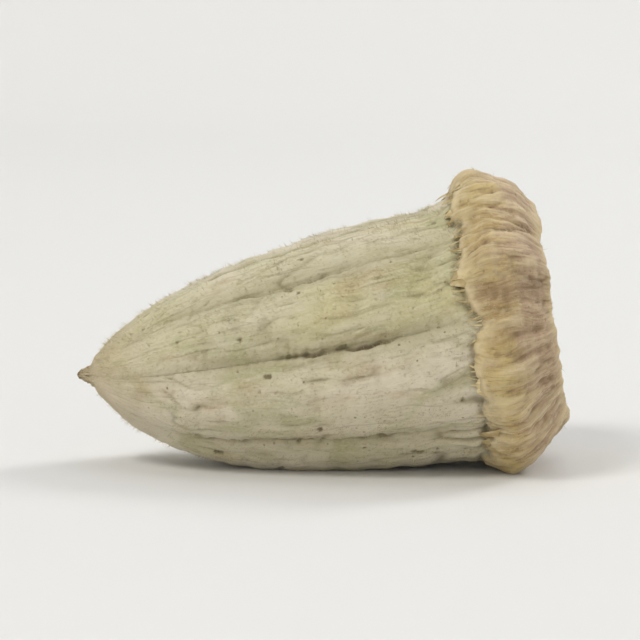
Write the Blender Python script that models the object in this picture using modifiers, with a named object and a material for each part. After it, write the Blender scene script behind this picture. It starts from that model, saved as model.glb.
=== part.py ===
"""Dried okra pod: a small bullet-shaped capsule with blunt ribs, lying on its side.

Run it with blender --background --python part.py, or from Blender's text editor.
Metres, +Z up. The tip points to -X and the cap at the stem end to +X. The pod rests on z = 0 on
flattened spots under its cap and its belly, and the origin is below the middle of its box.
"""

import math

import bmesh
import bpy
from mathutils import Matrix, Vector, noise

MM = 0.001

# Depth is measured along the pod's axis, from the cap's outer end towards the tip.
POD_LENGTH = 14.9 * MM
BODY_RADIUS = 4.05 * MM
BODY_START = 2.2 * MM
BODY_APEX = 14.4 * MM
BODY_FULLNESS = 2.5
BODY_BLUNTNESS = 0.6
OVALNESS = 0.025
OVAL_ANGLE = math.radians(20.0)

# The withered style leaves a thin stub on the tip, which leans up and to one side.
STYLE_RADIUS = 0.24 * MM
STYLE_TAPER = 0.3
STYLE_LEAN = 0.3 * MM
STYLE_LEAN_SPAN = (13.0 * MM, 15.2 * MM)

# The axis sags in the middle and the ribs wind a little round it.
AXIS_BEND = -0.22 * MM
AXIS_BEND_SIDE = 0.5
TWIST = math.radians(7.0)

# The cap's outline, as radius and depth: pith hole, cut stem, dish, rim and the shoulder to the body.
CAP_OUTLINE = (
    (0.00 * MM, 0.72 * MM),
    (0.34 * MM, 0.64 * MM),
    (0.44 * MM, 0.22 * MM),
    (0.72 * MM, 0.05 * MM),
    (1.12 * MM, 0.07 * MM),
    (1.34 * MM, 0.28 * MM),
    (1.60 * MM, 0.56 * MM),
    (2.25 * MM, 0.60 * MM),
    (2.85 * MM, 0.30 * MM),
    (3.20 * MM, 0.12 * MM),
    (3.70 * MM, 0.36 * MM),
    (4.16 * MM, 0.86 * MM),
    (4.48 * MM, 1.40 * MM),
    (4.54 * MM, 1.80 * MM),
    (4.30 * MM, 2.22 * MM),
)
CAP_EDGE = 2.45 * MM
BODY_JOIN = 2.6 * MM
ROWS_PER_CAP_SPAN = 2
BODY_ROWS = 21
COLUMNS_PER_RIB = 10

# Furrows round the axis, in degrees: 0 faces +Y, 90 faces up and 180 faces -Y.
FURROW_ANGLES = (3.0, 49.0, 92.0, 130.0, 171.0, 222.0, 270.0, 318.0)
FURROW_SHARE = (0.9, 0.6, 1.0, 0.7, 1.1, 0.8, 1.3, 0.65)
RIB_SWELL = (1.0, 0.8, 1.1, 0.9, 1.15, 1.0, 1.2, 0.85)
RIB_DEPTH = 0.42 * MM
RIB_ROUNDNESS = 0.75
RIB_START = (2.3 * MM, 4.2 * MM)
RIB_FADE = (9.5 * MM, 13.9 * MM)
RIB_LEFT_AT_TIP = 0.15

# How far the cap's corner over each rib stands out of the round, where it ends, and how its edge waves.
CORNER_REACH = (0.28 * MM, 0.60 * MM, 0.34 * MM, 0.46 * MM, 0.30 * MM, 0.26 * MM, 0.26 * MM, 0.42 * MM)
CORNER_POINT = 1.5
CORNER_RAMP = (1.6 * MM, 4.3 * MM)
CORNER_END = (1.8 * MM, 3.5 * MM)
SCALLOP = 0.3 * MM
SCALLOP_RAMP = (1.2 * MM, 2.2 * MM)
SCALLOP_END = (2.6 * MM, 4.0 * MM)

# The dish on the cap's face is folded once for each rib.
FACE_FOLD = 0.12 * MM
FACE_RAMP = (1.2 * MM, 2.6 * MM)
FACE_RIM = (3.0 * MM, 3.9 * MM)
FACE_END = (0.9 * MM, 1.6 * MM)
FACE_SHARE = 0.4
STEM_RADIUS = 1.2 * MM

# Dents of the dried skin are long along the body, fade at the tip, and are small and deep on the cap.
DENT_DEPTH = 0.11 * MM
DENT_LENGTH = 4.5 * MM
DENT_WIDTH = 2.2 * MM
DENT_START = (2.0 * MM, 3.0 * MM)
DENT_FADE = (12.8 * MM, 14.4 * MM)
CAP_DENT_DEPTH = 0.24 * MM
CAP_DENT_SIZE = 1.5 * MM
CAP_DENT_PLACE = 7.0

REST_TILT = math.radians(8.3)
REST_DEPTH = 0.1 * MM

SKIN_COLOUR = (0.47, 0.43, 0.27, 1.0)
CAP_COLOUR = (0.45, 0.33, 0.19, 1.0)
SKIN_ROUGHNESS = 0.85


def clear_scene():
    """Remove every object that is in the scene."""
    for obj in list(bpy.data.objects):
        bpy.data.objects.remove(obj, do_unlink=True)


def ramp(low, high, value):
    """Rise smoothly from 0 at low to 1 at high."""
    share = min(max((value - low) / (high - low), 0.0), 1.0)
    return share * share * (3.0 - 2.0 * share)


def curve_through(before, start, end, after, share):
    """Point of a smooth curve between start and end, led by the points before and after them."""
    point = []
    for a, b, c, d in zip(before, start, end, after):
        bend = 2.0 * a - 5.0 * b + 4.0 * c - d
        twist = -a + 3.0 * b - 3.0 * c + d
        point.append(0.5 * (2.0 * b + (c - a) * share + bend * share**2 + twist * share**3))
    return tuple(point)


def body_radius(depth):
    """Radius of the bare body at a depth: a bullet that ends in the thin stub of the style."""
    share = min(max((depth - BODY_START) / (BODY_APEX - BODY_START), 0.0), 1.0)
    bullet = BODY_RADIUS * (1.0 - share**BODY_FULLNESS) ** BODY_BLUNTNESS
    end = STYLE_RADIUS * (1.0 - STYLE_TAPER * ramp(BODY_APEX, POD_LENGTH, depth))
    left = min((POD_LENGTH - depth) / end, 1.0)
    stub = end * math.sqrt(max(1.0 - (1.0 - left) ** 2, 0.0))
    return math.hypot(bullet, stub)


def pod_outline():
    """Half outline of the pod as (radius, depth), from the pith hole over the rim to the tip."""
    hole_radius, hole_depth = CAP_OUTLINE[1]
    next_depth = BODY_JOIN + (BODY_JOIN - CAP_OUTLINE[-1][1])
    padded = [
        (-hole_radius, hole_depth),
        *CAP_OUTLINE,
        (body_radius(BODY_JOIN), BODY_JOIN),
        (body_radius(next_depth), next_depth),
    ]
    outline = []
    for i in range(1, len(padded) - 2):
        for step in range(ROWS_PER_CAP_SPAN):
            outline.append(curve_through(*padded[i - 1:i + 3], step / ROWS_PER_CAP_SPAN))
    for row in range(BODY_ROWS + 1):
        # The rows crowd towards the tip, where the outline turns fastest.
        share = math.sin(0.5 * math.pi * row / BODY_ROWS)
        depth = BODY_JOIN + (POD_LENGTH - BODY_JOIN) * share
        outline.append((body_radius(depth), depth))
    outline[0] = (0.0, outline[0][1])
    outline[-1] = (0.0, POD_LENGTH)
    return outline


def turned_mesh(outline, steps):
    """Turn the outline round Z, stem end up, and return it as a real mesh."""
    mesh = bpy.data.meshes.new("outline")
    points = [(radius, 0.0, -depth) for radius, depth in outline]
    edges = [(i, i + 1) for i in range(len(points) - 1)]
    mesh.from_pydata(points, edges, [])
    blank = bpy.data.objects.new("outline", mesh)
    bpy.context.scene.collection.objects.link(blank)
    screw = blank.modifiers.new("turn", "SCREW")
    screw.steps = steps
    screw.render_steps = steps
    screw.use_merge_vertices = True
    screw.merge_threshold = 0.002 * MM
    evaluated = blank.evaluated_get(bpy.context.evaluated_depsgraph_get())
    turned = bpy.data.meshes.new_from_object(evaluated)
    bpy.data.objects.remove(blank, do_unlink=True)
    return turned


def rib_place(turn):
    """Rib number, share of the way across it and true angle for a share of a full turn."""
    count = len(FURROW_ANGLES)
    place = (turn % 1.0) * count
    rib = int(place) % count
    across = place - int(place)
    start = FURROW_ANGLES[rib]
    end = FURROW_ANGLES[(rib + 1) % count]
    if end < start:
        end += 360.0
    return rib, across, math.radians(start + (end - start) * across)


def rib_relief(rib, across, depth):
    """Height of the ribbed skin over the bare body: 0 on an average crest, less in a furrow."""
    crest = math.sin(math.pi * across) ** RIB_ROUNDNESS
    next_rib = (rib + 1) % len(FURROW_ANGLES)
    sink = FURROW_SHARE[rib] * (1.0 - across) + FURROW_SHARE[next_rib] * across
    swell = 0.5 * (RIB_SWELL[rib] - 1.0) * crest
    envelope = ramp(*RIB_START, depth) * (1.0 - (1.0 - RIB_LEFT_AT_TIP) * ramp(*RIB_FADE, depth))
    return RIB_DEPTH * envelope * (swell - sink * (1.0 - crest))


def corner_relief(rib, across, radius, depth):
    """How far the cap's corner over a rib stands out at this place."""
    point = (1.0 - abs(2.0 * across - 1.0)) ** CORNER_POINT
    return CORNER_REACH[rib] * point * ramp(*CORNER_RAMP, radius) * (1.0 - ramp(*CORNER_END, depth))


def dent_relief(point, depth):
    """Dents and lumps of the dried skin and of the cap."""
    skin_place = Vector((depth / DENT_LENGTH, point.y / DENT_WIDTH, point.z / DENT_WIDTH))
    cap_place = point / CAP_DENT_SIZE + Vector((CAP_DENT_PLACE, 0.0, 0.0))
    on_body = ramp(*DENT_START, depth)
    skin = DENT_DEPTH * noise.noise(skin_place) * on_body * (1.0 - ramp(*DENT_FADE, depth))
    return skin + CAP_DENT_DEPTH * noise.noise(cap_place) * (1.0 - on_body)


def centre_line(depth):
    """Shift of the pod's axis at a depth: its sag and the lean of the style's stub."""
    bow = AXIS_BEND * math.sin(math.pi * depth / POD_LENGTH)
    lean = STYLE_LEAN * ramp(*STYLE_LEAN_SPAN, depth)
    return Vector((0.0, AXIS_BEND_SIDE * bow - lean, bow + lean))


def shaped_point(radius, depth, turn):
    """Place of a point of the turned pod after its ribs, corners, folds and dents."""
    rib, across, angle = rib_place(turn)
    angle += TWIST * (depth / POD_LENGTH - 0.5)
    dent = dent_relief(Vector((-depth, radius * math.cos(angle), radius * math.sin(angle))), depth)
    on_face = (1.0 - ramp(*FACE_RIM, radius)) * (1.0 - ramp(*FACE_END, depth))
    outward = dent * (1.0 - (1.0 - FACE_SHARE) * on_face) * min(radius / STEM_RADIUS, 1.0)
    if depth > BODY_JOIN:
        outward = dent
    full = radius * (1.0 + OVALNESS * math.cos(2.0 * (angle - OVAL_ANGLE)))
    full += rib_relief(rib, across, depth) + corner_relief(rib, across, radius, depth) + outward
    fold = FACE_FOLD * math.cos(2.0 * math.pi * across)
    inward = (dent + fold) * on_face * ramp(*FACE_RAMP, radius)
    edge_share = ramp(*SCALLOP_RAMP, depth) * (1.0 - ramp(*SCALLOP_END, depth))
    inward += edge_share * (SCALLOP * (math.sin(math.pi * across) - 0.5) + 0.5 * dent)
    place = Vector((-depth - inward, full * math.cos(angle), full * math.sin(angle)))
    return place + centre_line(depth)


def nearest_row(outline, radius, depth):
    """Point of the outline that a vertex of the turned mesh came from."""
    return min(outline, key=lambda row: (row[0] - radius) ** 2 + (row[1] - depth) ** 2)


def lay_down(points):
    """Tip the pod onto its belly, flatten what touches and centre it over the origin."""
    tilt = Matrix.Rotation(-REST_TILT, 3, "Y")
    laid = [tilt @ point for point in points]
    floor = min(point.z for point in laid) + REST_DEPTH
    middle = [0.5 * (min(p[k] for p in laid) + max(p[k] for p in laid)) for k in range(2)]
    return [Vector((p.x - middle[0], p.y - middle[1], max(p.z - floor, 0.0))) for p in laid]


def material(name, colour):
    """Matt finish of one colour."""
    finish = bpy.data.materials.new(name)
    finish.use_nodes = True
    shader = finish.node_tree.nodes["Principled BSDF"]
    shader.inputs["Base Color"].default_value = colour
    shader.inputs["Roughness"].default_value = SKIN_ROUGHNESS
    shader.inputs["Metallic"].default_value = 0.0
    return finish


def colour_regions(mesh, sources):
    """Give the skin and the cap their materials, by the depth that each face came from."""
    mesh.materials.clear()
    mesh.materials.append(material("okra_skin", SKIN_COLOUR))
    mesh.materials.append(material("okra_cap", CAP_COLOUR))
    for face in mesh.polygons:
        depth = sum(sources[i][1] for i in face.vertices) / len(face.vertices)
        face.material_index = 1 if depth < CAP_EDGE else 0


def okra_pod():
    """The whole pod as one closed body with a green skin and a tan cap."""
    outline = pod_outline()
    steps = COLUMNS_PER_RIB * len(FURROW_ANGLES)
    mesh = turned_mesh(outline, steps)
    mesh.name = "okra_pod"
    sources = []
    for vertex in mesh.vertices:
        x, y, z = vertex.co
        column = round(math.atan2(y, x) / (2.0 * math.pi) * steps)
        radius, depth = nearest_row(outline, math.hypot(x, y), -z)
        sources.append((radius, depth, column / steps))
    laid = lay_down([shaped_point(*source) for source in sources])
    for vertex, place in zip(mesh.vertices, laid):
        vertex.co = place
    colour_regions(mesh, sources)
    shape = bmesh.new()
    shape.from_mesh(mesh)
    bmesh.ops.triangulate(shape, faces=shape.faces[:])
    bmesh.ops.recalc_face_normals(shape, faces=shape.faces[:])
    shape.to_mesh(mesh)
    shape.free()
    mesh.shade_smooth()
    return bpy.data.objects.new("okra_pod", mesh)


def main():
    """Model the pod in a collection of its own."""
    clear_scene()
    collection = bpy.data.collections.new("dried_okra_pod")
    bpy.context.scene.collection.children.link(collection)
    collection.objects.link(okra_pod())


main()
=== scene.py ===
"""Looks of a small dried okra pod that lies on its side.

The pod is one grown piece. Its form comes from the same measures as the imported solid, on a much
finer mesh, with the furrows' creases, the wrinkles, the pits and the torn edge of the cap raised
from it. Short hairs and frayed shreds are pieces of their own. Metres, +Z up.
"""

import logging
import math
from dataclasses import dataclass, field
from enum import Enum
from typing import Any

import bpy
import numpy as np
from mathutils import Matrix, Vector, noise


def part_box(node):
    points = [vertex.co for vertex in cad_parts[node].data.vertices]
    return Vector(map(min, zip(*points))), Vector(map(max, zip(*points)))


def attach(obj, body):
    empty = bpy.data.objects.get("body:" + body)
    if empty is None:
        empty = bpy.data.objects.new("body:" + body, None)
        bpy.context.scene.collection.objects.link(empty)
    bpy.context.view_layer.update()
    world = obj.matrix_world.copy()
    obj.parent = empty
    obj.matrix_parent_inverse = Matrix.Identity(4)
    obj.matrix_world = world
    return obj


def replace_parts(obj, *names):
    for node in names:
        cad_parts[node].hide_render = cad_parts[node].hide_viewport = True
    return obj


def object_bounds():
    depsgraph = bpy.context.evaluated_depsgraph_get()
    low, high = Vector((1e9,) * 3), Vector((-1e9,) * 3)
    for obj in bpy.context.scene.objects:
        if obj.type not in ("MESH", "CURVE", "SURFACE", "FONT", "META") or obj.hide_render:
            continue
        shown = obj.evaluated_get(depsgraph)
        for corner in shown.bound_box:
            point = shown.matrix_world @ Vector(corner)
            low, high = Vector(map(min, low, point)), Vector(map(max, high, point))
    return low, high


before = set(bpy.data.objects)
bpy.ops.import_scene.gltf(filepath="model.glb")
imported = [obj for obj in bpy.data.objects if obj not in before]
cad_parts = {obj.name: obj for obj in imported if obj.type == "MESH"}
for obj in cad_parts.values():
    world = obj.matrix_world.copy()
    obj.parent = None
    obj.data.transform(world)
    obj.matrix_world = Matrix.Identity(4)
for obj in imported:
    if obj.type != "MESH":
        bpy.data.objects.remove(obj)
cad_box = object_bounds()

log = logging.getLogger("okra_pod")

Array = np.ndarray
Colour = tuple[float, float, float, float]
Span = tuple[float, float]

MM = 0.001
NODE = "okra_pod"
BODY = "root"
PLACE = "pod_place"
FIBRE_PLACE = "fibre_place"


class Region(Enum):
    """Named masks that the mesh carries for its finish."""

    CAP = "cap"
    CAP_FACE = "cap_face"
    STEM = "stem"
    PITH = "pith"
    FURROW = "furrow"
    CREASE = "crease"
    FOLD = "fold"
    PIT = "pit"
    RELIEF = "relief"
    ALONG = "along"
    TINT = "tint"
    EDGE = "edge"
    LIP = "lip"


class Operation(Enum):
    """How two values are joined."""

    ADD = "ADD"
    MULTIPLY = "MULTIPLY"


class Rise(Enum):
    """How a share rises from its low end to its high one."""

    SMOOTH = "SMOOTHSTEP"
    EVEN = "LINEAR"


class Laid(Enum):
    """How a coat of colour is laid: it covers what is below, or only darkens it."""

    COVER = "MIX"
    DARKEN = "MULTIPLY"


def tone(red: int, green: int, blue: int) -> Colour:
    """Turn a colour as seen on a screen, 0 to 255, into the shader's linear colour.

    Args:
        red: Red share.
        green: Green share.
        blue: Blue share.

    Returns:
        Linear red, green, blue and a full alpha.
    """
    def linear(value: int) -> float:
        """Linear share of one screen value."""
        share = value / 255.0
        return share / 12.92 if share <= 0.04045 else ((share + 0.055) / 1.055) ** 2.4

    return (linear(red), linear(green), linear(blue), 1.0)


def ramp(low: float, high: float, value: Array) -> Array:
    """Rise smoothly from 0 at low to 1 at high.

    Args:
        low: Value where the rise starts.
        high: Value where it ends.
        value: Values to look up.

    Returns:
        Shares from 0 to 1, in the shape of value.
    """
    share = np.clip((value - low) / (high - low), 0.0, 1.0)
    return share * share * (3.0 - 2.0 * share)


def perlin(points: Array, shift: float = 0.0) -> Array:
    """Smooth noise from about -1 to 1.

    Args:
        points: Places in units of the noise's size, as an array that ends in 3.
        shift: Moves the places along one axis, for another draw.

    Returns:
        One value for each place.
    """
    flat = points.reshape(-1, 3) + np.array([shift, 0.37 * shift, -0.21 * shift])
    values = [noise.noise(place) for place in flat.tolist()]
    return np.array(values).reshape(points.shape[:-1])


def keep_places(mesh: bpy.types.Mesh, name: str, places: Array) -> None:
    """Keep one place for each vertex as an attribute of the mesh."""
    layer = mesh.attributes.new(name, "FLOAT_VECTOR", "POINT")
    layer.data.foreach_set("vector", places.ravel())


def loose_mesh(
    name: str, points: Array, faces: list[list[int]], fibres: Array | None = None
) -> bpy.types.Mesh:
    """Mesh of many small closed bodies.

    Args:
        name: Name of the mesh.
        points: Places of its points, one row each.
        faces: Its faces, faces out.
        fibres: Where each point lies along the cap's fibres, if the finish has streaks.

    Returns:
        The mesh, with its places as attributes for the finish.
    """
    mesh = bpy.data.meshes.new(name)
    mesh.from_pydata(points.tolist(), [], faces)
    keep_places(mesh, PLACE, points)
    if fibres is not None:
        keep_places(mesh, FIBRE_PLACE, fibres)
    return mesh


def unit(vectors: Array) -> Array:
    """Vectors of length 1 in the same directions."""
    return vectors / np.linalg.norm(vectors, axis=-1, keepdims=True)


def piece_of(name: str, mesh: bpy.types.Mesh) -> bpy.types.Object:
    """Put a mesh into the scene as a piece that rides on the pod.

    Args:
        name: Name of the piece.
        mesh: Its mesh.

    Returns:
        The piece.
    """
    piece = bpy.data.objects.new(name, mesh)
    bpy.context.scene.collection.objects.link(piece)
    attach(piece, BODY)
    log.info("%s: %d faces", name, len(mesh.polygons))
    return piece


class Nodes:
    """Adds and links the nodes of one material."""

    def __init__(self, name: str) -> None:
        """Start a material with a Principled shader.

        Args:
            name: Name of the material.
        """
        self.material = bpy.data.materials.new(name)
        self.material.use_nodes = True
        self.tree = self.material.node_tree
        self.shader = self.tree.nodes["Principled BSDF"]
        self.made: dict[Any, Any] = {}
        self.place = self.attribute(PLACE, "Vector")
        self.fibre = self.attribute(FIBRE_PLACE, "Vector")

    def add(self, kind: str, inputs: dict[Any, Any]) -> bpy.types.Node:
        """Add one node.

        Args:
            kind: Its type.
            inputs: A plain value, or the socket that is linked, for each of its inputs.

        Returns:
            The node.
        """
        node = self.tree.nodes.new(kind)
        self.fill(node, inputs)
        return node

    def fill(self, node: bpy.types.Node, inputs: dict[Any, Any]) -> None:
        """Link each of a node's inputs to a socket, or give it a plain value.

        Args:
            node: The node.
            inputs: A plain value, or the socket that is linked, for each of its inputs.
        """
        for name, value in inputs.items():
            if isinstance(value, bpy.types.NodeSocket):
                self.tree.links.new(value, node.inputs[name])
            else:
                node.inputs[name].default_value = value

    def attribute(self, name: str, output: str) -> bpy.types.NodeSocket:
        """One of the mesh's attributes.

        Args:
            name: Name of the attribute.
            output: Name of the node's output that is read.

        Returns:
            The socket of that output.
        """
        node = self.add("ShaderNodeAttribute", {})
        node.attribute_name = name
        return node.outputs[output]

    def read(self, source: Any) -> Any:
        """Socket of a mask's or a pattern's value, made once for each.

        Args:
            source: A region, or a pattern, sum or level.

        Returns:
            The value's socket.
        """
        if source not in self.made:
            is_mask = isinstance(source, Region)
            self.made[source] = self.attribute(source.value, "Fac") if is_mask else source.socket(self)
        return self.made[source]

    def join(self, operation: Operation, first: Any, second: Any) -> Any:
        """Join two values.

        Args:
            operation: How they are joined.
            first: Socket of the first value.
            second: Socket of the second, or a plain value.

        Returns:
            The result's socket.
        """
        node = self.add("ShaderNodeMath", {0: first, 1: second})
        node.operation = operation.value
        return node.outputs["Value"]

    def mapped(self, place: Any, scale: tuple[float, ...], shift: tuple[float, ...]) -> Any:
        """Places scaled and moved."""
        inputs = {"Vector": place, "Scale": scale, "Location": shift}
        return self.add("ShaderNodeMapping", inputs).outputs["Vector"]

    def mix(self, share: Any, first: Any, second: Any, laid: Laid = Laid.COVER) -> Any:
        """Lay a second colour over the first.

        Args:
            share: How much of the second colour is laid.
            first: Socket or value of the colour below.
            second: Socket or value of the colour above.
            laid: How the second is laid.

        Returns:
            The socket of the new colour.
        """
        node = self.add("ShaderNodeMix", {"Factor": share, 6: first, 7: second})
        node.data_type = "RGBA"
        node.blend_type = laid.value
        return node.outputs[2]

    def bump(self, source: Any, distance: float, strength: float, below: dict[str, Any]) -> dict[str, Any]:
        """Surface normal of a height map over another, distance metres high."""
        inputs = {"Distance": distance, "Strength": strength, "Height": self.read(source), **below}
        return {"Normal": self.add("ShaderNodeBump", inputs).outputs["Normal"]}


@dataclass(frozen=True)
class Pattern:
    """Noise from 0 to 1 in the finish.

    Size is that of its blotches in metres, stretch how many times longer they are along the pod, detail the
    number of finer layers, shift its draw, bend how far it is swirled. With streaked, it runs from the pith
    over the rim and on to the tip.
    """

    size: float
    stretch: float
    detail: float
    shift: float
    bend: float = 0.0
    streaked: bool = False

    def socket(self, nodes: Nodes) -> Any:
        """The noise's value socket.

        Args:
            nodes: The material's nodes.

        Returns:
            The socket, from 0 to 1.
        """
        scale = (1.0 / (self.size * self.stretch), 1.0 / self.size, 1.0 / self.size)
        shift = (self.shift, 0.4 * self.shift, -0.3 * self.shift)
        place = nodes.mapped(nodes.fibre if self.streaked else nodes.place, scale, shift)
        inputs = {"Vector": place, "Scale": 1.0, "Detail": self.detail, "Distortion": self.bend}
        return nodes.add("ShaderNodeTexNoise", inputs).outputs["Fac"]


@dataclass(frozen=True)
class Spots:
    """Distance from the nearest of many scattered points, about size metres apart."""

    size: float
    shift: float

    def socket(self, nodes: Nodes) -> Any:
        """The distance's socket."""
        place = nodes.mapped(nodes.place, (1.0 / self.size,) * 3, (self.shift,) * 3)
        return nodes.add("ShaderNodeTexVoronoi", {"Vector": place, "Scale": 1.0}).outputs["Distance"]


@dataclass(frozen=True)
class Sum:
    """A mask or pattern with a share of another added."""

    first: Any
    second: Any
    share: float

    def socket(self, nodes: Nodes) -> Any:
        """The sum's socket."""
        added = nodes.join(Operation.MULTIPLY, nodes.read(self.second), self.share)
        return nodes.join(Operation.ADD, nodes.read(self.first), added)


@dataclass(frozen=True)
class Level:
    """A share that rises from bottom to top as its source goes from low to high."""

    source: Any
    low: float
    high: float
    top: float = 1.0
    bottom: float = 0.0
    rise: Rise = Rise.SMOOTH

    def socket(self, nodes: Nodes) -> Any:
        """The share's socket.

        Args:
            nodes: The material's nodes.

        Returns:
            The socket.
        """
        value = nodes.read(self.source)
        inputs = {"Value": value, "From Min": self.low, "From Max": self.high}
        inputs |= {"To Min": self.bottom, "To Max": self.top}
        node = nodes.add("ShaderNodeMapRange", inputs)
        node.interpolation_type = self.rise.value
        return node.outputs["Result"]


def evenly(source: Any, top: float, bottom: float = 0.0) -> Level:
    """A share that follows a mask evenly, from bottom where it is 0 to top where it is 1."""
    return Level(source, 0.0, 1.0, top, bottom, Rise.EVEN)


@dataclass(frozen=True)
class Coat:
    """A coat of colour over what is below it, as thick as its level says and its limit allows."""

    colour: Colour
    level: Level
    limit: Level | None = None
    laid: Laid = Laid.COVER

    def over(self, nodes: Nodes, below: Any) -> Any:
        """Lay the coat over a colour.

        Args:
            nodes: The material's nodes.
            below: Socket or value of the colour below.

        Returns:
            The socket of the coated colour.
        """
        share = nodes.read(self.level)
        if self.limit is not None:
            share = nodes.join(Operation.MULTIPLY, share, nodes.read(self.limit))
        return nodes.mix(share, below, self.colour, self.laid)


def darkening(colour: Colour, level: Level) -> Coat:
    """A coat that only darkens."""
    return Coat(colour, level, None, Laid.DARKEN)


def layered(nodes: Nodes, ground: Any, coats: list[Coat]) -> Any:
    """Lay coats over a ground, one after another.

    Args:
        nodes: The material's nodes.
        ground: Socket or value of the lowest colour.
        coats: The coats, the lowest first.

    Returns:
        The socket of the colour on top.
    """
    colour = ground
    for coat in coats:
        colour = coat.over(nodes, colour)
    return colour


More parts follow.
